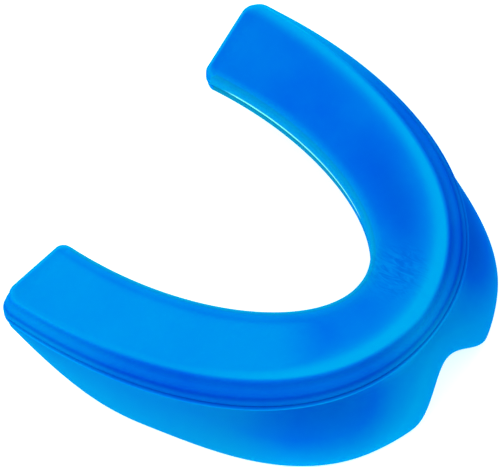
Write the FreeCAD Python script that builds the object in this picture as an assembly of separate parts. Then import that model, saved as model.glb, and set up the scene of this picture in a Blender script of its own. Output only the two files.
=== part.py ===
"""Upper mouthguard for boxing and martial arts, lying bite face up on the free edge of its flange.

Millimetres.  X runs across the arch, Y from the front teeth (-Y) to the open back (+Y), Z up.
The origin is on the resting plane, under the middle of the guard's bounding box.
"""
import FreeCAD
import Part
import math
import os

# Whole guard
HEIGHT = 13.3            # resting plane to the outer edge of the bite face
ORIGIN_BACK = 24.9       # origin, measured back from the foremost point of the ridge

# Right half of the dental arch in plan, as cubic Bezier points from the midline to the arm's tip
RIDGE = [(0.0, 0.0), (24.9, 0.0), (35.4, 27.5), (32.6, 53.35)]
LINGUAL = [(0.0, 12.7), (9.5, 12.7), (19.2, 30.9), (17.45, 52.4)]

# Bite pad: two steps, narrower above
PAD_INSET = 3.0          # upper step's outer edge, in from the ridge, where the rim is widest
STEP_INSET = 1.4         # lower step's outer edge, in from the ridge, at the same place
RIM = (0.71, 1.01, 0.56)  # both insets vary by these shares: at the front teeth, half way, at the tips
STEP_DROP = 1.0          # bite face to the lower step
UPPER_END = 0.988        # the upper step ends at this share of the half arch
PAD_THICK = 2.0          # bite face to the parting line
PAD_CORNER = 2.0         # plan radius of the corners at the tips
CANT_FRONT = 0.2         # how far the bite face falls towards the tongue at the front teeth
CANT_TIP = 2.4           # and at the tips
PAD_SHARE = 0.2          # share of the cross line that lies outside the pad

# Outer shell: plate, lip and flange
PLATE_THICK = 1.3
LIP_DROP = 2.8           # bite face to the ridge line of the lip
SHELL_CORNER = 2.2
WALL = 1.5               # flange wall
WALL_SET_IN = 0.45       # the wall starts this far under the lip
LOBE_FLARE = 4.5         # how far the two front lobes stand out from the ridge
NOTCH_FLARE = 2.4        # the same at the midline notch
TIP_FLARE = -0.4
NOTCH_HEIGHT = 6.1       # free edge over the resting plane at the midline notch
NOTCH_SHARE = 0.12       # half length of the notch, as a share of the half arch
LOBE_END = (0.22, 0.73)  # where the lobe's flare starts to fade and where it has gone
REST_END = 29.0          # the free edge leaves the resting plane this far behind the ridge
REST_LENGTH = 33.0       # and rises smoothly over this length
REST_RISE = 12.0         # by this much
STUB = 1.0               # least depth of the wall under the lip
BULGE = 1.45             # how early the wall bulges out on its way down
WALL_END = 0.97          # the wall stops at this share of the half arch
TRIM = 0.4               # cut from the free edge to leave a true flat on the resting plane

# Fit liner: the soft layer that takes the print of the teeth
LINER_THICK = 0.9
LINER_SET_BACK = 1.6     # stops this far short of the lingual edge and the free edge
LINER_END = 0.92         # its side stops at this share of the half arch
LINER_BACK = 49.2        # its bed stops this far behind the ridge's foremost point

STATIONS = [0.0, 0.03, 0.07, 0.12, 0.18, 0.26, 0.35, 0.45, 0.55, 0.63, 0.70, 0.77, 0.85, 0.93, 1.0]
EMBED = 0.8              # how far one raw solid runs into the next before it is cut or joined
OVERRUN = 0.04           # raw layers run past the tips by this share of the half arch
WALL_STEPS = 4
BIG = 200.0


def bezier(points, t):
    """Point and tangent of a cubic Bezier at t."""
    s = 1.0 - t
    weights = (s ** 3, 3 * s * s * t, 3 * s * t * t, t ** 3)
    slopes = (-3 * s * s, 3 * s * s - 6 * s * t, 6 * s * t - 3 * t * t, 3 * t * t)
    place = [sum(w * p[axis] for w, p in zip(weights, points)) for axis in (0, 1)]
    tangent = [sum(w * p[axis] for w, p in zip(slopes, points)) for axis in (0, 1)]
    return place, tangent


def smoothstep(x):
    x = min(1.0, max(0.0, x))
    return x * x * (3.0 - 2.0 * x)


def both_halves(stations):
    """Stations from the left tip to the right tip, as pairs of side (-1 or 1) and share."""
    left = [(-1.0, t) for t in reversed(stations) if t > 0.0]
    return left + [(1.0, t) for t in stations]


def outward(points, side, t):
    """Point on an arch curve and its unit normal, away from the tongue."""
    (x, y), (dx, dy) = bezier(points, t)
    length = math.hypot(dx, dy)
    return (side * x, y), (side * dy / length, -dx / length)


def rim(t):
    """Parabola through the three shares of RIM."""
    front, middle, tip = RIM
    return front * (1 - t) * (1 - 2 * t) + middle * 4 * t * (1 - t) + tip * t * (2 * t - 1)


def arch_edge(points, inset, stations, share=lambda t: 1.0):
    """Curve from tip to tip, moved in from an arch curve by inset times a share that may vary."""
    places = []
    for side, t in both_halves(stations):
        (x, y), (nx, ny) = outward(points, side, t)
        away = inset * share(t)
        places.append(FreeCAD.Vector(x - away * nx, y - away * ny, 0.0))
    curve = Part.BSplineCurve()
    curve.interpolate(places)
    return curve.toShape()


def plan_prism(outer_inset, inner_inset, corner, end=1.0, share=lambda t: 1.0):
    """Upright horseshoe between two arch curves, with rounded corners at the tips."""
    stations = [end * t for t in STATIONS]
    outer = arch_edge(RIDGE, outer_inset, stations, share)
    inner = arch_edge(LINGUAL, -inner_inset, stations)
    ends = [Part.makeLine(outer.Vertexes[i].Point, inner.Vertexes[i].Point) for i in (0, -1)]
    outline = Part.Wire(Part.__sortEdges__([outer, inner] + ends))
    prism = Part.Face(outline).extrude(FreeCAD.Vector(0, 0, 2 * HEIGHT))
    upright = [e for e in prism.Edges if e.BoundBox.ZLength > HEIGHT]
    return prism.makeFillet(corner, upright)


def face_height(t, share):
    """Height of the bite face at a share of the cross line from ridge to lingual edge."""
    cant = CANT_FRONT + (CANT_TIP - CANT_FRONT) * t
    return HEIGHT - cant * (share - PAD_SHARE) / (1.0 - PAD_SHARE)


def layer(top, bottom):
    """Wide raw slab that follows the canted bite face, between two depths under it."""
    wires = []
    for side, t in both_halves(STATIONS[:-1] + [1.0 + OVERRUN]):
        (rx, ry), _ = bezier(RIDGE, t)
        (lx, ly), _ = bezier(LINGUAL, t)
        corners = []
        for share, depth in ((-0.4, top), (1.2, top), (1.2, bottom), (-0.4, bottom)):
            x = side * (rx + (lx - rx) * share)
            y = ry + (ly - ry) * share
            corners.append(FreeCAD.Vector(x, y, face_height(t, share) - depth))
        wires.append(Part.makePolygon(corners + corners[:1]))
    return Part.makeLoft(wires, True, False)


def flare(t):
    """How far the flange's free edge stands out from the ridge."""
    start, end = LOBE_END
    lobe = TIP_FLARE + (LOBE_FLARE - TIP_FLARE) * (1.0 - smoothstep((t - start) / (end - start)))
    return NOTCH_FLARE + (lobe - NOTCH_FLARE) * smoothstep(t / NOTCH_SHARE)


def edge_height(t):
    """Height of the flange's free edge, below zero where it is trimmed flat."""
    (_, y), _ = bezier(RIDGE, t)
    notch = NOTCH_HEIGHT * (1.0 - smoothstep(t / NOTCH_SHARE))
    rise = REST_RISE * smoothstep((y - REST_END) / REST_LENGTH)
    return min(notch + rise - TRIM, HEIGHT - LIP_DROP - STUB)


def wall_section(side, t, out_shift, in_shift, top, bottom):
    """Closed section of the flange wall, between two shifts from its outer face."""
    (x, y), (nx, ny) = outward(RIDGE, side, t)
    reach = flare(t) + WALL_SET_IN
    drop = HEIGHT - LIP_DROP - edge_height(t)
    downs = [-top] + [(drop - bottom) * k / WALL_STEPS for k in range(1, WALL_STEPS + 1)]

    def face(shift):
        points = []
        for down in downs:
            bulge = 1.0 - (1.0 - max(0.0, down / drop)) ** BULGE
            away = bulge * reach - WALL_SET_IN - shift
            points.append(FreeCAD.Vector(x + away * nx, y + away * ny, HEIGHT - LIP_DROP - down))
        return points

    outer = face(out_shift)
    inner = face(in_shift)[::-1]
    edges = []
    for points in (outer, inner):
        curve = Part.BSplineCurve()
        curve.interpolate(points)
        edges.append(curve.toShape())
    edges.insert(1, Part.makeLine(outer[-1], inner[0]))
    edges.append(Part.makeLine(inner[-1], outer[0]))
    return Part.Wire(edges)


def wall(out_shift, in_shift, top, bottom, end):
    """Wall between two shifts, from tip to tip."""
    stations = [end * t for t in STATIONS]
    sections = [wall_section(s, t, out_shift, in_shift, top, bottom) for s, t in both_halves(stations)]
    return Part.makeLoft(sections, True, False)


def above_rest(shape):
    """Drop whatever lies under the resting plane, which leaves the free edge flat there."""
    return shape.common(Part.makeBox(BIG, BIG, BIG, FreeCAD.Vector(-BIG / 2, -BIG / 2, 0)))


def make_bite_pad():
    slab = plan_prism(STEP_INSET, 0.0, PAD_CORNER, share=rim).common(layer(0.0, PAD_THICK))
    upper_step = plan_prism(PAD_INSET, -EMBED, PAD_CORNER, UPPER_END, rim)
    return slab.cut(layer(-HEIGHT, STEP_DROP).cut(upper_step))


def make_outer_shell(bite_pad):
    plate = plan_prism(0.0, 0.0, SHELL_CORNER).common(layer(PAD_THICK, PAD_THICK + PLATE_THICK))
    flange = wall(0.0, WALL, EMBED / 4, 0.0, WALL_END)
    return above_rest(plate.fuse(flange)).cut(bite_pad)


def make_fit_liner(outer_shell):
    under = PAD_THICK + PLATE_THICK
    bed = plan_prism(WALL_SET_IN + EMBED, LINER_SET_BACK, SHELL_CORNER)
    bed = bed.common(layer(under - EMBED, under + LINER_THICK))
    bed = bed.common(Part.makeBox(BIG, BIG, BIG, FreeCAD.Vector(-BIG / 2, LINER_BACK - BIG, 0)))
    side = wall(WALL - EMBED, WALL + LINER_THICK, 0.0, LINER_SET_BACK, LINER_END)
    return bed.fuse(side).cut(outer_shell)


def keep(name, shape):
    """Write the node's one solid, moved to the guard's origin."""
    solid = max(shape.Solids, key=lambda s: s.Volume)
    solid.translate(FreeCAD.Vector(0, -ORIGIN_BACK, 0))
    solid.exportStep(os.path.join("parts", name + ".step"))
    print(name, "solids", len(shape.Solids), "valid", solid.isValid(), "mm3", round(solid.Volume))


os.makedirs("parts", exist_ok=True)
pad = make_bite_pad()
shell = make_outer_shell(pad)
liner = make_fit_liner(shell)
keep("bite_pad", pad)
keep("outer_shell", shell)
keep("fit_liner", liner)
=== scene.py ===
"""Mouthguard, bite face up: the visible layers, their plastic, the floor, lights and camera.

Metres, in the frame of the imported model; the arch's own sizes are in millimetres until a mesh is built.
Every layer is a stack of closed rings that follow the dental arch.  A ring runs along the outer (cheek)
side, round the tip of an arm, back along the lingual (tongue) side and round the other tip, so its points
match those of the next ring and faces join them directly.  Shares named t run from the midline, 0, to the
tip of an arm, 1.
"""
import math

import bmesh
import bpy
import numpy as np
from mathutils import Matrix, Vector


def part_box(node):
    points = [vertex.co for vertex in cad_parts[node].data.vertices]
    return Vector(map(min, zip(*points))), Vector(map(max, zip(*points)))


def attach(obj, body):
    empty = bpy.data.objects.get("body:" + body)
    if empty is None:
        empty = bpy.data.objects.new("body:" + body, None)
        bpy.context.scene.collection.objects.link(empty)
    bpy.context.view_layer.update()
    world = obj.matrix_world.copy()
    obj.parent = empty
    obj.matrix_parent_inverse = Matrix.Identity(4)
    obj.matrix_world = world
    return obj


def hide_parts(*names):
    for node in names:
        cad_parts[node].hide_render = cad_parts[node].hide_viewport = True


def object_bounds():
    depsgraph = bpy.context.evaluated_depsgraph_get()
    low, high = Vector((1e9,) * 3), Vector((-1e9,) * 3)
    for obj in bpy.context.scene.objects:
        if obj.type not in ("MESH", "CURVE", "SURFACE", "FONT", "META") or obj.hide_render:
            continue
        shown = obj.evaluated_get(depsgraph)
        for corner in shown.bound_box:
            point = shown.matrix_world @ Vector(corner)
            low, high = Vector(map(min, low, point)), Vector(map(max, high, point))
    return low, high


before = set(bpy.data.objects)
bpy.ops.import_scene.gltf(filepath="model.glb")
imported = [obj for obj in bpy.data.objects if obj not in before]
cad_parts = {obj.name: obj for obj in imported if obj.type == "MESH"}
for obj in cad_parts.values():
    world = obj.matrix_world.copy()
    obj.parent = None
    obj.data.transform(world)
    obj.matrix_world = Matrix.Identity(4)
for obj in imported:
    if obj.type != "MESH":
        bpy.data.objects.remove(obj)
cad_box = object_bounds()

MM = 0.001

# Right half of the arch in plan: cubic Bezier points in mm from the ridge's foremost point
RIDGE = np.array([(0.0, 0.0), (24.9, 0.0), (35.4, 27.5), (32.6, 53.35)])
LINGUAL = np.array([(0.0, 12.7), (9.5, 12.7), (19.2, 30.9), (17.45, 52.4)])

# Where the frame puts it
PAD_LOW, PAD_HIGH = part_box("bite_pad")
PAD_STEP = 0.99                                   # the CAD pad's foremost edge, in from the ridge
TIP_RISE = 0.22                                   # the bite face rises by this much at the tips
FACE = PAD_HIGH.z / MM - TIP_RISE                 # bite face at its outer edge
FRONT = PAD_LOW.y / MM - PAD_STEP                 # foremost point of the ridge

# Bite pad
CANT_FRONT, CANT_TIP = 0.2, 2.4                   # fall of the bite face towards the tongue
CANT_START, CANT_ROUND = 0.2, 0.01                # share across where the fall starts, and how softly
RIM = (0.71, 1.34, -1.49)                         # the stepped rim's width, as a polynomial in t
PAD_CORNERS = (2.3, 1.4)                          # plan radii at the tips: cheek side, tongue side
HOLLOW = 0.22                                     # the bite face is this much lower in its middle

# Outer shell
SHELL_CORNERS = (2.95, 1.95)
LIP_LEVEL = 2.8                                   # bite face down to the ridge
PARTING = 2.0                                     # bite face down to the parting line, tongue side
PLATE = 1.3
UNDER = PARTING + PLATE                           # bite face down to the plate's underside
WALL = 1.5                                        # thickness of the flange wall
WALL_TOP = LIP_LEVEL + 0.55                       # bite face down to where the wall starts
LOBE_FLARE, NOTCH_FLARE, TIP_FLARE = 4.5, 2.4, -0.4   # how far its free edge stands out from the ridge
LOBE_FADE = (0.22, 0.725)                         # shares where the lobe's flare starts to fade and is gone
NOTCH_HEIGHT, NOTCH_SHARE = 6.1, 0.124            # free edge's height at the midline, and the half length
CREASE_SHARE = 0.112                              # half length of the crease above the notch
REST_END = 29.0                                   # the free edge leaves the table this far behind the ridge
REST_LENGTH, REST_RISE = 33.0, 12.0               # and rises smoothly over this length, by this much
STUB, LEAST_WALL = 1.0, 0.5                       # least depth of the flange, and of its wall
SET_IN, BULGE = 0.3, 1.43                         # the wall starts under the lip and bulges out early,
BELLY = 0.23                                      # and by this much more half way down

# Fit liner
LINER, LINER_BACK = 0.9, 1.6                      # thickness, and how far it stops short of the edges
LINER_CORNERS = (1.4, 0.9)
LINER_GAP = 0.04                                  # between the liner and the shell

# Mesh density
N_SIDE, N_ARC, N_TIP = 110, 9, 22                 # points per half ring: along a side, a corner, a tip
N_HALF = 2 * N_SIDE + 2 * N_ARC + N_TIP
N_ENDS = N_HALF - 2 * N_SIDE
BISECTIONS = 40                                   # halvings that find where a corner's arc starts
WALL_ROWS, LINER_ROWS = 14, 10                    # rings down a wall
WALL_STOP, LINER_STOP = 0.96, 0.97                # share of its depth where they stop, at the round edge
# Share of each point of a half ring, with the rounding of the corners left out
SHARES = np.concatenate([np.linspace(0, 1, N_SIDE), np.ones(N_ENDS), np.linspace(1, 0, N_SIDE)])
TONGUE = np.arange(N_HALF) >= N_HALF - N_SIDE     # the points of a half ring on its tongue side

# Plastic; colours are linear
# SHINE is the colour of a painted highlight: a bright line that stands in for a reflection
SHINE = (0.22, 0.95, 1.0, 1.0)
FULL_SHINE = 2.4                                  # glow from here on shows as SHINE
TEAL = (0.003, 0.25, 0.40, 1.0)
STRIP = 0.8                                       # strength of the teal strips on the tongue side
MOTTLE = 0.16                                     # most that the slow noise lightens the plastic
MOTTLE_SCALE, GRAIN_SCALE, RELIEF_SCALE = 90.0, 400.0, 250.0
RELIEF_DEPTH = 0.2 * MM
EVA_IOR = 1.48

# Flow marks on the bite face: a patch of stretched noise
MARKS = 0.24                                      # their greatest strength
MARKS_AT = (0.0045, -0.0156, 0.0131)
MARKS_REACH = (2 * MM, 6 * MM)                    # full strength up to here, and none from there
MARKS_TURN = 0.5                                  # radians
MARKS_SCALE, MARKS_WARP = (1100.0, 330.0, 400.0), 2.0

# Stage
MIDDLE = (cad_box[0] + cad_box[1]) / 2
AT_MIDDLE = (0.0, 0.0, 0.0)                       # a lamp's aim, measured from there
FLOOR_REACH = 3.0
WHITE_LIGHT, CYAN_LIGHT, GREEN_LIGHT = (1.0, 1.0, 1.0), (0.0, 1.0, 0.3), (0.0, 1.0, 0.1)


def bezier(points, t):
    """Places and unit normals, pointing away from the tongue, at an array of t."""
    t = np.asarray(t, float)[:, None]
    s = 1.0 - t
    place = s**3 * points[0] + 3 * s * s * t * points[1] + 3 * s * t * t * points[2] + t**3 * points[3]
    slope = (s * s * (points[1] - points[0]) + 2 * s * t * (points[2] - points[1])
             + t * t * (points[3] - points[2]))
    slope /= np.linalg.norm(slope, axis=1)[:, None]
    return place, np.stack([slope[:, 1], -slope[:, 0]], 1)


def smooth(x):
    x = np.clip(x, 0.0, 1.0)
    return x * x * (3.0 - 2.0 * x)


def ramp(x, start, length):
    """0 up to start, 1 from start + length, smooth between."""
    return smooth((x - start) / length)


def bell(x, centre, width):
    return np.exp(-((x - centre) / width) ** 2)


def fall_off(x, width):
    """1 at 0, a half at width."""
    return 1.0 / (1.0 + (x / width) ** 3)


def flare(t):
    """How far the flange's free edge stands out from the ridge."""
    start, end = LOBE_FADE
    lobe = TIP_FLARE + (LOBE_FLARE - TIP_FLARE) * (1.0 - ramp(t, start, end - start))
    return NOTCH_FLARE + (lobe - NOTCH_FLARE) * ramp(t, 0.0, CREASE_SHARE)


def edge_height(t):
    """Height of the flange's free edge."""
    place, _ = bezier(RIDGE, t)
    notch = NOTCH_HEIGHT * (1.0 - ramp(t, 0.0, NOTCH_SHARE))
    rise = REST_RISE * ramp(place[:, 1], REST_END, REST_LENGTH)
    return np.minimum(notch + rise, FACE - LIP_LEVEL - STUB)


def face_height(t, share):
    """The bite face's height, at a share of the way from the ridge to the lingual edge."""
    across = (share - CANT_START) / (1.0 - CANT_START)
    across = 0.5 * (across + np.sqrt(across**2 + CANT_ROUND))
    return FACE - (CANT_FRONT + (CANT_TIP - CANT_FRONT) * t) * across


TIP_OUT, TIP_IN = RIDGE[3], LINGUAL[3]
TIP_WIDTH = np.linalg.norm(TIP_IN - TIP_OUT)
TIP_ALONG = (TIP_IN - TIP_OUT) / TIP_WIDTH
TIP_NORMAL = np.array([TIP_ALONG[1], -TIP_ALONG[0]])


def corner(points, sign, inset, tip_inset, radius):
    """Centre of the arc that rounds one corner of an arm's tip, the share where it starts, its normal."""
    low, high = 0.5, 1.0
    for _ in range(BISECTIONS):
        t = 0.5 * (low + high)
        place, normal = bezier(points, [t])
        centre = place[0] - sign * (inset(np.array([t]))[0] + radius) * normal[0]
        if (centre - TIP_OUT) @ TIP_NORMAL + tip_inset + radius < 0:
            low = t
        else:
            high = t
    return centre, t, sign * normal[0]


def fan(centre, radius, start, end):
    """Points of an arc between two directions, and how far round each is, 0 to 1."""
    a = math.atan2(start[1], start[0])
    b = math.atan2(end[1], end[0])
    if b < a:
        b += 2 * math.pi
    along = (np.arange(N_ARC) + 0.5) / N_ARC
    angle = a + (b - a) * along
    return centre + radius * np.stack([np.cos(angle), np.sin(angle)], 1), along


def ring(outer, outer_drop, inner, inner_drop, corners):
    """Right half of a ring, as an array of points in mm.

    outer and inner are how far it lies in from the ridge and from the lingual edge, and the drops are how
    far it lies under the bite face there.  Each is a number or a function of t.  The end of the arm takes
    the values of the tongue side.
    """
    def as_function(value):
        return value if callable(value) else (lambda t: np.full(len(t), float(value)))

    outer, outer_drop, inner, inner_drop = map(as_function, (outer, outer_drop, inner, inner_drop))
    at_tip = np.array([1.0])
    tip, tip_drop = inner(at_tip)[0], inner_drop(at_tip)[0]
    cheek_centre, cheek_end, cheek_normal = corner(RIDGE, 1.0, outer, tip, corners[0])
    tongue_centre, tongue_end, tongue_normal = corner(LINGUAL, -1.0, inner, tip, corners[1])

    t_cheek = np.linspace(0.0, cheek_end, N_SIDE)
    t_tongue = np.linspace(tongue_end, 0.0, N_SIDE)
    cheek, cheek_normals = bezier(RIDGE, t_cheek)
    tongue, tongue_normals = bezier(LINGUAL, t_tongue)
    cheek_arc, cheek_turn = fan(cheek_centre, corners[0], cheek_normal, TIP_NORMAL)
    tongue_arc, tongue_turn = fan(tongue_centre, corners[1], TIP_NORMAL, tongue_normal)
    first = cheek_centre + corners[0] * TIP_NORMAL
    last = tongue_centre + corners[1] * TIP_NORMAL
    plan = np.vstack([cheek - outer(t_cheek)[:, None] * cheek_normals,
                      cheek_arc,
                      first + (last - first) * np.linspace(0.0, 1.0, N_TIP)[:, None],
                      tongue_arc,
                      tongue + inner(t_tongue)[:, None] * tongue_normals])

    cheek_width = np.linalg.norm(cheek - bezier(LINGUAL, t_cheek)[0], axis=1)
    tongue_width = np.linalg.norm(tongue - bezier(RIDGE, t_tongue)[0], axis=1)
    ends = plan[N_SIDE:N_HALF - N_SIDE]
    share = np.concatenate([np.maximum(0.0, outer(t_cheek)) / cheek_width,
                            np.clip((ends - TIP_OUT) @ TIP_ALONG / TIP_WIDTH, 0, 1),
                            1.0 - inner(t_tongue) / tongue_width])
    t = np.concatenate([t_cheek, np.ones(N_ENDS), t_tongue])
    cheek_drop, tongue_drop = outer_drop(t_cheek), inner_drop(t_tongue)
    drop = np.concatenate([cheek_drop,
                           cheek_drop[-1] + (tip_drop - cheek_drop[-1]) * smooth(cheek_turn),
                           np.full(N_TIP, tip_drop),
                           tip_drop + (tongue_drop[0] - tip_drop) * smooth(tongue_turn),
                           tongue_drop])
    return np.column_stack([plan, face_height(t, share) - drop])


class Layer:
    """A closed mesh built from rings, with three shades painted on its points.

    glow leads to the light blue of thinner plastic and of painted light, and above 1 to SHINE, a painted
    highlight; deep leads to the dark blue of thicker plastic and of painted shade; teal leads to TEAL.
    """

    def __init__(self, name):
        self.name = name
        self.points = []
        self.faces = []
        self.shades = {"glow": [], "deep": [], "teal": []}
        self.first = None
        self.last = None

    def add(self, points, *shades):
        start = len(self.points)
        self.points.extend(points)
        for painted, shade in zip(self.shades.values(), shades):
            painted.extend(np.broadcast_to(shade, len(points)))
        return np.arange(start, len(self.points))

    def ring(self, half, glow=0.0, deep=0.0, teal=0.0):
        """Adds a whole ring from its right half and joins it to the ring before it."""
        mirrored = half[1:-1][::-1] * (-1.0, 1.0, 1.0)
        shades = []
        for shade in (glow, deep, teal):
            right = np.broadcast_to(shade, len(half))
            shades.append(np.concatenate([right, right[1:-1][::-1]]))
        ids = self.add(np.vstack([half, mirrored]), *shades)
        if self.last is None:
            self.first = ids
        else:
            self.faces.extend(zip(self.last, np.roll(self.last, -1), np.roll(ids, -1), ids))
        self.last = ids

    def cap(self, ids, shape=None):
        """Fills a ring with a grid.  shape gives lift, glow and deep for shares along and across."""
        right = ids[:N_HALF]
        left = np.concatenate([[right[0]], ids[N_HALF:][::-1], [right[-1]]])
        cheek_corner = N_SIDE + N_ARC // 2
        tongue_corner = N_SIDE + N_ARC + N_TIP + N_ARC // 2
        outer = np.concatenate([left[cheek_corner:0:-1], right[:cheek_corner + 1]])
        inner = np.concatenate([left[tongue_corner:-1], right[tongue_corner:][::-1]])
        start, end = (side[cheek_corner:tongue_corner + 1] for side in (left, right))
        at = np.array(self.points)
        a = np.linspace(0, 1, len(outer))[None, :, None]
        b = np.linspace(0, 1, len(start))[:, None, None]
        grid = ((1 - b) * at[outer][None] + b * at[inner][None]
                + (1 - a) * at[start][:, None] + a * at[end][:, None]
                - (1 - a) * (1 - b) * at[outer[0]] - a * (1 - b) * at[outer[-1]]
                - (1 - a) * b * at[inner[0]] - a * b * at[inner[-1]])
        rows, columns = grid.shape[:2]
        glow = deep = np.zeros((rows, columns))
        if shape:
            lift, glow, deep = shape(a[..., 0], b[..., 0])
            grid[..., 2] += lift
        index = np.empty((rows, columns), int)
        index[0], index[-1] = outer, inner
        index[:, 0], index[:, -1] = start, end
        inside = self.add(grid[1:-1, 1:-1].reshape(-1, 3), glow[1:-1, 1:-1].ravel(),
                          deep[1:-1, 1:-1].ravel(), 0.0)
        index[1:-1, 1:-1] = inside.reshape(rows - 2, columns - 2)
        for edge in ((0, slice(None)), (-1, slice(None)), (slice(None), 0), (slice(None), -1)):
            for i, edge_glow, edge_deep in zip(index[edge], glow[edge], deep[edge]):
                self.shades["glow"][i] = edge_glow
                self.shades["deep"][i] = edge_deep
        self.faces.extend(zip(index[:-1, :-1].ravel(), index[:-1, 1:].ravel(),
                              index[1:, 1:].ravel(), index[1:, :-1].ravel()))

    def build(self, material, node):
        """Makes the piece, normals outward and shades painted, hangs it on the root body and hides its node's
        CAD part.
        """
        points = (np.array(self.points) + (0.0, FRONT, 0.0)) * MM
        mesh = bpy.data.meshes.new(self.name)
        mesh.from_pydata(points.tolist(), [], [tuple(int(i) for i in face) for face in self.faces])
        for label, values in self.shades.items():
            painted = mesh.attributes.new(label, "FLOAT", "POINT")
            painted.data.foreach_set("value", np.array(values, np.float32))
        work = bmesh.new()
        work.from_mesh(mesh)
        bmesh.ops.recalc_face_normals(work, faces=work.faces)
        work.to_mesh(mesh)
        work.free()
        mesh.polygons.foreach_set("use_smooth", [True] * len(mesh.polygons))
        mesh.materials.append(material)
        piece = bpy.data.objects.new(self.name, mesh)
        bpy.context.scene.collection.objects.link(piece)
        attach(piece, "root")
        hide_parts(node)


def rim_paint(glow, deep, shine=0.0, strip=0.0):
    """Shades of a rim row, with painted light round the front and at the tips, where the rim is narrow, and
    along the tongue side.

    On the tongue side, shine is the strength of a painted highlight line and strip that of a teal strip.
    """
    # painted light: lighter round the front, at the tips and on the tongue side
    light = np.clip(0.68 * (1 - ramp(SHARES, 0.0, 0.22)) + 0.8 * ramp(SHARES, 0.62, 0.36), 0, 1)
    light = np.where(TONGUE, 0.8, light)
    line = shine * TONGUE * ramp(SHARES, 0.36, 0.1) * (1 - ramp(SHARES, 0.88, 0.1))
    beside = 1 - smooth(line)
    glows = glow + light * (1 - glow) + line
    # painted shade, less where the painted light is
    deeps = deep * np.where(TONGUE, 0.15, 1 - 0.3 * light) * beside
    teals = TONGUE * np.maximum(strip * ramp(SHARES, 0.43, 0.1), 0.33) * beside
    return glows, deeps, teals


def dish(along, across):
    """Lift, glow and deep of the bite face, from left tip to right tip and from cheek to tongue side.

    It has painted light beside the rim, at the front, along the tongue side and over its whole left arm,
    and a little painted shade at its front right.
    """
    off_middle = np.abs(2 * along - 1)
    hollow = (1 - np.abs(2 * across - 1) ** 4) * (1 - off_middle**30)
    # painted light over the whole left arm
    lit_left_arm = 1 - ramp(along, 0.30, 0.12)
    # painted light in a band beside the rim, along the tongue side and round the front
    band = 0.08 + 0.08 * (1 - off_middle) ** 2
    beside_rim = (0.85 - 0.3 * lit_left_arm * ramp(off_middle, 0.35, 0.3)) * fall_off(across, band)
    glow = beside_rim + 0.12 * bell(across, 0.0, 0.35)
    glow = glow + 0.5 * fall_off(1 - across, 0.12) + 0.18 * bell(off_middle, 0.0, 0.28)
    glow = np.maximum(glow, 0.22 * ramp(off_middle, 0.65, 0.3))
    glow = np.maximum(glow, 0.56 * lit_left_arm * (1 - 0.35 * bell(across, 0.87, 0.05)))
    # painted shade at the front right
    deep = 0.3 * bell(along, 0.68, 0.1) * bell(across, 0.5, 0.25)
    return -HOLLOW * hollow, np.clip(glow, 0, 1), deep


def make_bite_pad(material):
    """The pad and its two steps, from the bite face down to the parting line.

    Rows: outer inset (at a rim width of 1) and drop, inner inset and drop, glow and deep (plastic tone with
    painted light and shade), shine (painted highlight).
    """
    rows = [
        (3.60, 0.02, 0.65, 0.00, 0.70, 0.00, 0.0),
        (3.25, 0.00, 0.36, 0.01, 0.30, 0.00, 0.0),
        (3.08, 0.02, 0.18, 0.06, 0.10, 0.10, 0.0),
        (2.98, 0.08, 0.07, 0.15, 0.00, 0.30, 0.0),
        (2.90, 0.20, 0.01, 0.30, 0.00, 0.50, 0.0),
        (2.78, 0.45, 0.00, 0.50, 0.00, 0.60, 0.0),
        (2.62, 0.75, 0.00, 0.80, 0.00, 0.50, 0.0),
        (2.40, 0.97, 0.00, 0.95, 0.00, 0.30, 0.0),
        (2.10, 1.08, 0.00, 1.10, 0.05, 0.15, 0.0),
        (1.70, 1.16, 0.00, 1.20, 0.05, 0.20, 0.0),
        (1.42, 1.24, 0.00, 1.30, 0.00, 0.40, 0.0),
        (1.28, 1.36, 0.00, 1.38, 0.00, 0.60, 1.5),
        (1.20, 1.55, 0.00, 1.46, 0.00, 0.80, 3.0),
        (1.12, 1.80, 0.00, 1.54, 0.00, 0.90, 3.0),
        (1.02, 2.02, 0.00, 1.62, 0.00, 0.70, 3.0),
        (0.90, 2.14, 0.00, 1.70, 0.00, 0.40, 3.0),
        (0.70, 2.20, 0.00, 1.76, 0.10, 0.20, 0.0),
        (0.52, 2.26, 0.02, 1.82, 0.05, 0.40, 0.0),
        (0.44, 2.36, 0.05, 1.88, 0.00, 0.60, 0.0),
        (0.46, 2.50, 0.12, 1.93, 0.00, 0.50, 0.0),
        (0.60, 2.58, 0.25, 1.97, 0.00, 0.40, 0.0),
        (1.60, 2.60, 1.00, 2.00, 0.00, 0.50, 0.0),
    ]
    strip_top = 1.73                              # rows from this inner drop down have the teal strip
    pad = Layer("bite_pad_skin")
    for outer, drop, inner, inner_drop, glow, deep, shine in rows:
        def inset(t, outer=outer):
            return outer * (RIM[0] + RIM[1] * t + RIM[2] * t * t)
        pad.ring(ring(inset, drop, inner, inner_drop, PAD_CORNERS),
                 *rim_paint(glow, deep, shine, STRIP * (inner_drop > strip_top)))
    pad.cap(pad.first, dish)
    pad.cap(pad.last)
    pad.build(material, "bite_pad")


def wall_in(level, shift):
    """Inset of the flange wall's face at a share of its depth, moved in by shift."""
    def inset(t):
        reach = flare(t) + SET_IN
        belly = BELLY * 4.0 * level * (1.0 - level) * np.clip(reach / LOBE_FLARE, 0.0, 1.0)
        return SET_IN + shift - belly - reach * (1.0 - (1.0 - level) ** BULGE)
    return inset


def wall_down(level, raised=0.0, least=0.0):
    """Drop of the flange wall at a share of its depth, least or more.  raised lifts its free edge."""
    def drop(t):
        depth = FACE - WALL_TOP - edge_height(t) - raised
        return np.maximum(WALL_TOP + np.maximum(depth, LEAST_WALL) * level, least)
    return drop


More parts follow.
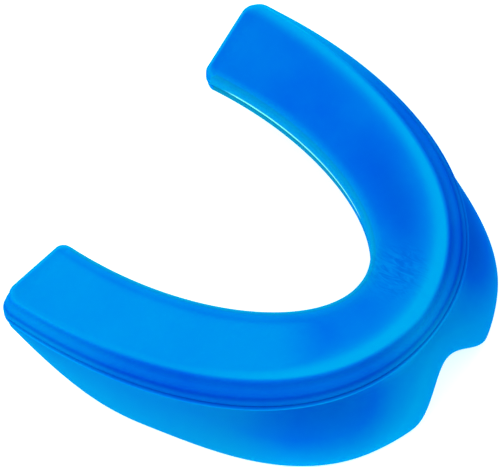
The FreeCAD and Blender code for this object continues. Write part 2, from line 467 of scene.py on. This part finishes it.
def wall_paint(level):
    """Shades of a wall row: light at the thinner free edge, and painted light at the notch and tips; deep at
    the lobes' tops, from thicker plastic and painted shade.

    Towards the tips and on the tongue side it is teal as well.
    """
    t = np.where(TONGUE, 1.0, SHARES)
    # thinner plastic at the free edge, painted light round the notch and at the tips
    thin_and_lit = 0.9 * level**1.2 + 0.65 * (1 - ramp(t, 0.0, 0.24)) - 0.15 * ramp(t, 0.4, 0.2)
    thin_and_lit = thin_and_lit + 0.4 * ramp(t, 0.6, 0.25) + 0.15 * (1 - ramp(level, 0.04, 0.14))
    # thicker plastic and painted shade at the lobes' tops
    thick_and_shaded = 0.75 * ramp(t, 0.1, 0.2) * (1 - ramp(t, 0.35, 0.25)) * (1 - level)
    teal = 0.33 * ramp(t, 0.35, 0.2) + 0.55 * TONGUE
    return np.clip(thin_and_lit - thick_and_shaded, 0, 0.85), np.clip(thick_and_shaded - thin_and_lit, 0, 1), teal


def make_outer_shell(material):
    """The tray: hidden top, parting groove, lip and the flared flange, down its outside and up its inside.

    Rows: outer inset and drop, inner inset and drop, glow and deep (plastic tone with painted light and
    shade).
    """
    rows = [
        (1.60, 2.66, 1.00, 2.04, 0.00, 0.4),
        (0.62, 2.66, 0.25, 2.06, 0.00, 0.4),
        (0.42, 2.64, 0.10, 2.08, 0.10, 0.4),
        (0.26, 2.64, 0.03, 2.14, 0.20, 0.3),
        (0.12, 2.68, 0.00, 2.22, 0.15, 0.2),
        (0.02, 2.78, 0.00, 2.40, 0.25, 0.0),
        (0.00, 2.92, 0.00, 2.60, 0.30, 0.0),
        (0.03, 3.05, 0.00, 2.80, 0.20, 0.0),
        (0.12, 3.15, 0.00, 2.90, 0.20, 0.0),
        (0.24, 3.24, 0.02, 3.00, 0.10, 0.1),
    ]
    # edge_shades paint light along the free edge; inside_glow paints a little light inside the wall and under
    # the plate
    edge_shades, inside_glow = (0.8, 0.0, 0.4), 0.2
    shell = Layer("outer_shell_skin")

    def add(outer, drop, inner, inner_drop, *shades):
        shell.ring(ring(outer, drop, inner, inner_drop, SHELL_CORNERS), *shades)

    for outer, drop, inner, inner_drop, glow, deep in rows:
        add(outer, drop, inner, inner_drop, *rim_paint(glow, deep, strip=STRIP))
    for k in range(WALL_ROWS + 1):
        down = k / WALL_ROWS
        level = WALL_STOP * down
        add(wall_in(level, 0.0), wall_down(level), 0.03 + 0.2 * down, UNDER - 0.2 + 0.18 * down,
            *wall_paint(level))
    for shift, level in ((0.12, 0.985), (0.4, 1.0), (WALL - 0.4, 1.0), (WALL - 0.12, 0.985)):
        add(wall_in(level, shift), wall_down(level), 0.4 + 0.3 * shift, UNDER, *edge_shades)
    for k in range(WALL_ROWS + 1):
        up = k / WALL_ROWS
        level = WALL_STOP * (1.0 - up)
        add(wall_in(level, WALL), wall_down(level), 0.9 + 0.1 * up, UNDER, inside_glow)
    for outer, drop in ((1.9, UNDER - 0.05), (2.2, UNDER), (2.8, UNDER)):
        add(outer, drop, 1.1 + 0.2 * (outer - 1.9), UNDER, inside_glow)
    shell.cap(shell.first)
    shell.cap(shell.last)
    shell.build(material, "outer_shell")


def make_fit_liner(material):
    """The soft lining under the plate and inside the flange wall."""
    inner, top, bottom = LINER_BACK, UNDER + LINER_GAP, UNDER + LINER
    # glow shades: lighter tone with painted light, most at the liner's rounded edge
    glow, edge_glow, inside_glow = 0.2, 0.5, 0.3
    liner = Layer("fit_liner_skin")

    def add(outer, drop, inset, inset_drop, shade):
        liner.ring(ring(outer, drop, inset, inset_drop, LINER_CORNERS), shade)

    add(3.2, top, inner + 1.0, top, glow)
    add(2.3, top, inner + 0.2, top, glow)
    for k in range(LINER_ROWS + 1):
        down = k / LINER_ROWS
        level = LINER_STOP * down
        add(wall_in(level, WALL + LINER_GAP), wall_down(level, LINER_BACK), inner + 0.02,
            top + 0.05 + 0.5 * down, glow)
    for shift in (0.2, LINER - 0.2):
        add(wall_in(1.0, WALL + LINER_GAP + shift), wall_down(1.0, LINER_BACK), inner + 0.1 + 0.1 * shift,
            bottom - 0.1, edge_glow)
    for k in range(LINER_ROWS + 1):
        up = k / LINER_ROWS
        level = LINER_STOP * (1.0 - up)
        add(wall_in(level, WALL + LINER), wall_down(level, LINER_BACK, bottom - 0.02 * up),
            inner + 0.3 + 0.2 * up, bottom, inside_glow)
    for outer in (3.2, 3.8):
        add(outer, bottom, inner + 0.6 + 0.2 * (outer - 3.2), bottom, glow)
    liner.cap(liner.first)
    liner.cap(liner.last)
    liner.build(material, "fit_liner")


def plastic(name, deep_colour, mid_colour, glow_colour, roughness, bump, marks=False):
    """Translucent moulded EVA: colour from the painted light and shade and slow noise, faint moulding
    texture.

    marks adds a patch of faint flow marks near the front of the bite face.
    """
    material = bpy.data.materials.new(name)
    material.use_nodes = True
    nodes, links = material.node_tree.nodes, material.node_tree.links
    shader = nodes["Principled BSDF"]
    place = nodes.new("ShaderNodeTexCoord").outputs["Object"]

    def attribute(label):
        node = nodes.new("ShaderNodeAttribute")
        node.attribute_name = label
        return node.outputs["Fac"]

    def noise(scale, detail, where=place, distortion=0.0):
        node = nodes.new("ShaderNodeTexNoise")
        node.inputs["Scale"].default_value = scale
        node.inputs["Detail"].default_value = detail
        node.inputs["Distortion"].default_value = distortion
        links.new(where, node.inputs["Vector"])
        return node.outputs["Fac"]

    def mix(factor, first, second):
        node = nodes.new("ShaderNodeMix")
        node.data_type = "RGBA"
        for value, socket in ((factor, node.inputs[0]), (first, node.inputs[6]), (second, node.inputs[7])):
            if isinstance(value, tuple):
                socket.default_value = value
            else:
                links.new(value, socket)
        return node.outputs[2]

    def remap(value, low, high, to_low, to_high):
        node = nodes.new("ShaderNodeMapRange")
        for index, number in enumerate((low, high, to_low, to_high), 1):
            node.inputs[index].default_value = number
        links.new(value, node.inputs[0])
        return node.outputs[0]

    colour = mix(remap(noise(MOTTLE_SCALE, 4.0), 0.35, 0.65, 0.0, MOTTLE), mid_colour, glow_colour)
    # glow and deep carry painted light and shade; glow above 1 turns into SHINE, a painted highlight
    colour = mix(attribute("glow"), colour, glow_colour)
    colour = mix(attribute("deep"), colour, deep_colour)
    colour = mix(attribute("teal"), colour, TEAL)
    colour = mix(remap(attribute("glow"), 1.0, FULL_SHINE, 0.0, 1.0), colour, SHINE)
    if marks:
        away = nodes.new("ShaderNodeVectorMath")
        away.operation = "DISTANCE"
        away.inputs[1].default_value = MARKS_AT
        links.new(place, away.inputs[0])
        near = remap(away.outputs["Value"], *MARKS_REACH, 1.0, 0.0)
        stretched = nodes.new("ShaderNodeMapping")
        stretched.inputs["Rotation"].default_value = (0.0, 0.0, MARKS_TURN)
        stretched.inputs["Scale"].default_value = MARKS_SCALE
        links.new(place, stretched.inputs["Vector"])
        wisp = noise(1.0, 2.0, stretched.outputs["Vector"], MARKS_WARP)
        for full, tint in ((0.64, deep_colour), (0.36, glow_colour)):
            fade = nodes.new("ShaderNodeMath")
            fade.operation = "MULTIPLY"
            links.new(remap(wisp, 0.5, full, 0.0, MARKS), fade.inputs[0])
            links.new(near, fade.inputs[1])
            colour = mix(fade.outputs[0], colour, tint)
    links.new(colour, shader.inputs["Base Color"])
    links.new(remap(noise(GRAIN_SCALE, 3.0), 0.3, 0.7, roughness - 0.04, roughness + 0.06),
              shader.inputs["Roughness"])
    shader.inputs["IOR"].default_value = EVA_IOR
    shader.inputs["Specular IOR Level"].default_value = 0.0
    shader.inputs["Subsurface Weight"].default_value = 0.3
    shader.inputs["Subsurface Radius"].default_value = (0.1, 0.5, 1.0)
    shader.inputs["Subsurface Scale"].default_value = 2 * MM
    relief = nodes.new("ShaderNodeBump")
    relief.inputs["Strength"].default_value = bump
    relief.inputs["Distance"].default_value = RELIEF_DEPTH
    links.new(noise(RELIEF_SCALE, 4.0), relief.inputs["Height"])
    links.new(relief.outputs["Normal"], shader.inputs["Normal"])
    return material


def area_light(name, place, target, size, power, colour):
    """Round lamp aimed at target.  place and target are measured from the middle of the object's box."""
    data = bpy.data.lights.new(name, "AREA")
    data.shape = "DISK"
    data.size = size
    data.energy = power
    data.color = colour
    light = bpy.data.objects.new(name, data)
    light.location = MIDDLE + Vector(place)
    light.rotation_euler = (Vector(target) - Vector(place)).to_track_quat("-Z", "Y").to_euler()
    bpy.context.scene.collection.objects.link(light)


def make_floor():
    """White table that glows by itself, so that it shows as plain white."""
    reach = FLOOR_REACH
    mesh = bpy.data.meshes.new("floor")
    mesh.from_pydata([(-reach, -reach, 0), (reach, -reach, 0), (reach, reach, 0), (-reach, reach, 0)],
                     [], [(0, 1, 2, 3)])
    floor = bpy.data.objects.new("floor", mesh)
    bpy.context.scene.collection.objects.link(floor)
    material = bpy.data.materials.new("floor")
    material.use_nodes = True
    shader = material.node_tree.nodes["Principled BSDF"]
    shader.inputs["Base Color"].default_value = (0.88, 0.88, 0.88, 1.0)
    shader.inputs["Emission Color"].default_value = (1.0, 1.0, 1.0, 1.0)
    shader.inputs["Emission Strength"].default_value = 0.62
    shader.inputs["Roughness"].default_value = 0.9
    shader.inputs["Specular IOR Level"].default_value = 0.0
    mesh.materials.append(material)
    floor.location.z = -0.1 * MM


def make_world():
    """Even white light from all round."""
    world = bpy.data.worlds.new("world")
    world.use_nodes = True
    background = world.node_tree.nodes["Background"]
    background.inputs["Color"].default_value = (1.0, 1.0, 1.0, 1.0)
    background.inputs["Strength"].default_value = 0.70
    bpy.context.scene.world = world


def make_camera(azimuth, elevation, distance, frame_width, aim_right, aim_up):
    """Camera at a bearing round the object, aimed beside the middle of its box.

    frame_width, aim_right and aim_up are shares of the box's width.
    """
    width = cad_box[1].x - cad_box[0].x
    a, e = math.radians(azimuth), math.radians(elevation)
    ahead = Vector((-math.sin(a) * math.cos(e), math.cos(a) * math.cos(e), -math.sin(e)))
    turn = ahead.to_track_quat("-Z", "Y")
    right, up = turn @ Vector((1, 0, 0)), turn @ Vector((0, 1, 0))
    aim = MIDDLE + width * (aim_right * right + aim_up * up)
    data = bpy.data.cameras.new("camera")
    data.lens = data.sensor_width * distance / (frame_width * width)
    data.clip_end = 100.0
    camera = bpy.data.objects.new("camera", data)
    camera.location = aim - ahead * distance
    camera.rotation_euler = turn.to_euler()
    bpy.context.scene.collection.objects.link(camera)
    bpy.context.scene.camera = camera


pad_blue = plastic(
    "pad_blue", deep_colour=(0.0, 0.042, 0.59, 1.0), mid_colour=(0.0, 0.111, 0.82, 1.0),
    glow_colour=(0.0, 0.360, 0.90, 1.0), roughness=0.22, bump=0.15, marks=True)
shell_blue = plastic(
    "shell_blue", deep_colour=(0.0, 0.053, 0.53, 1.0), mid_colour=(0.0, 0.085, 0.73, 1.0),
    glow_colour=(0.0, 0.274, 0.83, 1.0), roughness=0.22, bump=0.15)
liner_blue = plastic(
    "liner_blue", deep_colour=(0.0, 0.08, 0.50, 1.0), mid_colour=(0.0, 0.16, 0.70, 1.0),
    glow_colour=(0.0, 0.36, 0.80, 1.0), roughness=0.45, bump=0.3)

make_bite_pad(pad_blue)
make_outer_shell(shell_blue)
make_fit_liner(liner_blue)
make_floor()

area_light("key", (-0.25, 0.25, 0.45), AT_MIDDLE, size=0.35, power=1.0, colour=WHITE_LIGHT)
area_light("left", (-0.20, 0.08, 0.10), AT_MIDDLE, size=0.10, power=0.02, colour=CYAN_LIGHT)
area_light("back", (0.21, 0.12, 0.058), AT_MIDDLE, size=0.10, power=0.5, colour=CYAN_LIGHT)
area_light("front", (-0.06, -0.065, 0.015), (-0.015, -0.015, 0.0), size=0.04, power=0.025,
           colour=GREEN_LIGHT)
make_world()
bpy.context.scene.view_settings.view_transform = "Standard"

make_camera(azimuth=-55.2, elevation=57.8, distance=1.1, frame_width=1.0849, aim_right=-0.0870, aim_up=0.0659)
